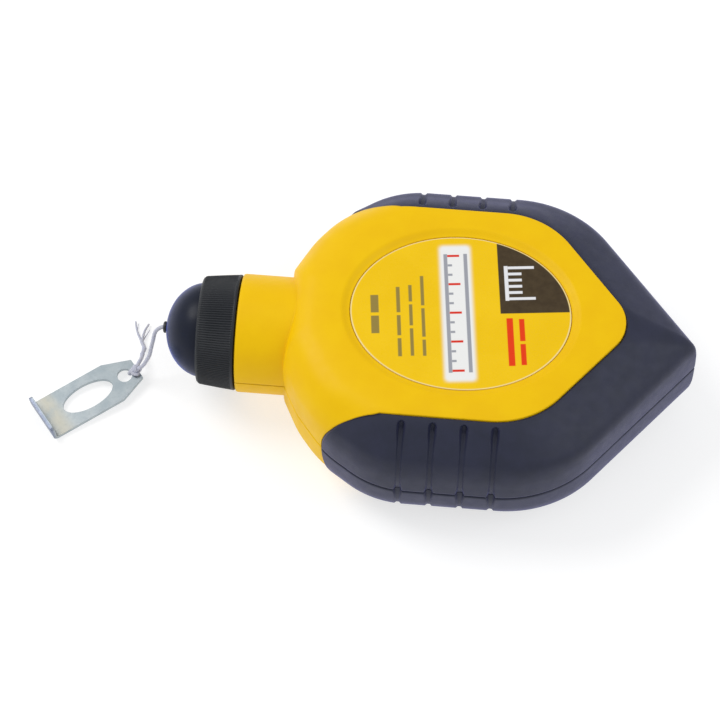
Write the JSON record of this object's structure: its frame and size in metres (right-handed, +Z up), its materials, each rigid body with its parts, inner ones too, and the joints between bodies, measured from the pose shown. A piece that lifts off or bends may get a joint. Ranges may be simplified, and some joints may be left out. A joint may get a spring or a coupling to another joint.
{
  "type": "chalk line reel",
  "caption": "Pointed chalk line reel with rubber grips, an oval label, a folding crank, a screw-on domed nose and a line that ends in a flat steel hook.",
  "frame": {"origin": "on the surface that the case lies on, below the middle of the case's length and width (eyelet to point, free line left out)", "axes": "+X from the nose to the point, +Y to the left when the nose points away and the label is up, +Z up through the label"},
  "size_m": [0.1794, 0.0904, 0.038],
  "materials": {
    "yellow_abs": "satin moulded ABS",
    "grip_rubber": "matt, very fine grain",
    "label_film": "glossy printed film",
    "screw_steel": "plain bright",
    "reel_plastic": "matt moulded",
    "crank_plastic": "matt moulded",
    "bush_brass": "turned",
    "seal_rubber": "matt",
    "collar_plastic": "matt, finely ribbed",
    "dome_plastic": "half gloss",
    "felt": "pressed felt",
    "cotton_line": "twisted, dusted with chalk",
    "zinc_plate": "zinc plated"
  },
  "bodies": {
    "case": {"front_shell": "yellow_abs", "rear_shell": "yellow_abs", "front_grip": "grip_rubber", "rear_grip": "grip_rubber", "front_label": "label_film", "case_screw_1": "screw_steel", "case_screw_2": "screw_steel", "case_screw_3": "screw_steel", "case_screw_4": "screw_steel", "front_bush": "bush_brass", "rear_bush": "bush_brass", "axle_seal": "seal_rubber", "line_inside": "cotton_line"},
    "reel": {"reel_drum": "reel_plastic", "reel_cheek": "reel_plastic", "line_winding": "cotton_line", "reel_axle": "screw_steel", "wave_washer": "screw_steel", "crank_hub": "crank_plastic", "hub_screw": "screw_steel", "fold_pin": "screw_steel"},
    "crank": {"crank_arm": "crank_plastic", "knob_rivet": "screw_steel"},
    "knob": {"crank_knob": "crank_plastic"},
    "nose": {"nose_dome": "dome_plastic", "nose_eyelet": "dome_plastic", "cap_gasket": "seal_rubber", "felt_wiper": "felt", "felt_washer": "collar_plastic"},
    "cap": {"cap_ring": "collar_plastic"},
    "line_end": {"line_free": "cotton_line", "line_knot": "cotton_line", "line_tail": "cotton_line", "line_hook": "zinc_plate"}
  },
  "joints": [
    {"name": "reel_spin", "type": "hinge", "parent": "case", "child": "reel", "pos_m": [0.00855, 0, 0.02], "axis": [0, 0, 1], "range_deg": [0, 720]},
    {"name": "crank_fold", "type": "hinge", "parent": "reel", "child": "crank", "pos_m": [-0.00045, 0, 0.002], "axis": [0, 1, 0], "range_deg": [0, 165]},
    {"name": "knob_spin", "type": "hinge", "parent": "crank", "child": "knob", "pos_m": [0.02955, 0, 0.0075], "axis": [0, 0, 1], "continuous": true},
    {"name": "nose_slide", "type": "slide", "parent": "case", "child": "nose", "axis": [-1, 0, 0], "range_m": [0, 0.005]},
    {"name": "cap_turn", "type": "hinge", "parent": "nose", "child": "cap", "pos_m": [-0.055, 0, 0.019], "axis": [-1, 0, 0], "range_deg": [0, 720]},
    {"name": "line_pull", "type": "slide", "parent": "nose", "child": "line_end", "axis": [-1, 0, 0], "range_m": [0, 0.385]}
  ],
  "couplings": [
    {"joint": "nose_slide", "follows": "cap_turn", "m_per_rad": 0.00039789},
    {"joint": "line_pull", "follows": "reel_spin", "m_per_rad": 0.03055}
  ]
}
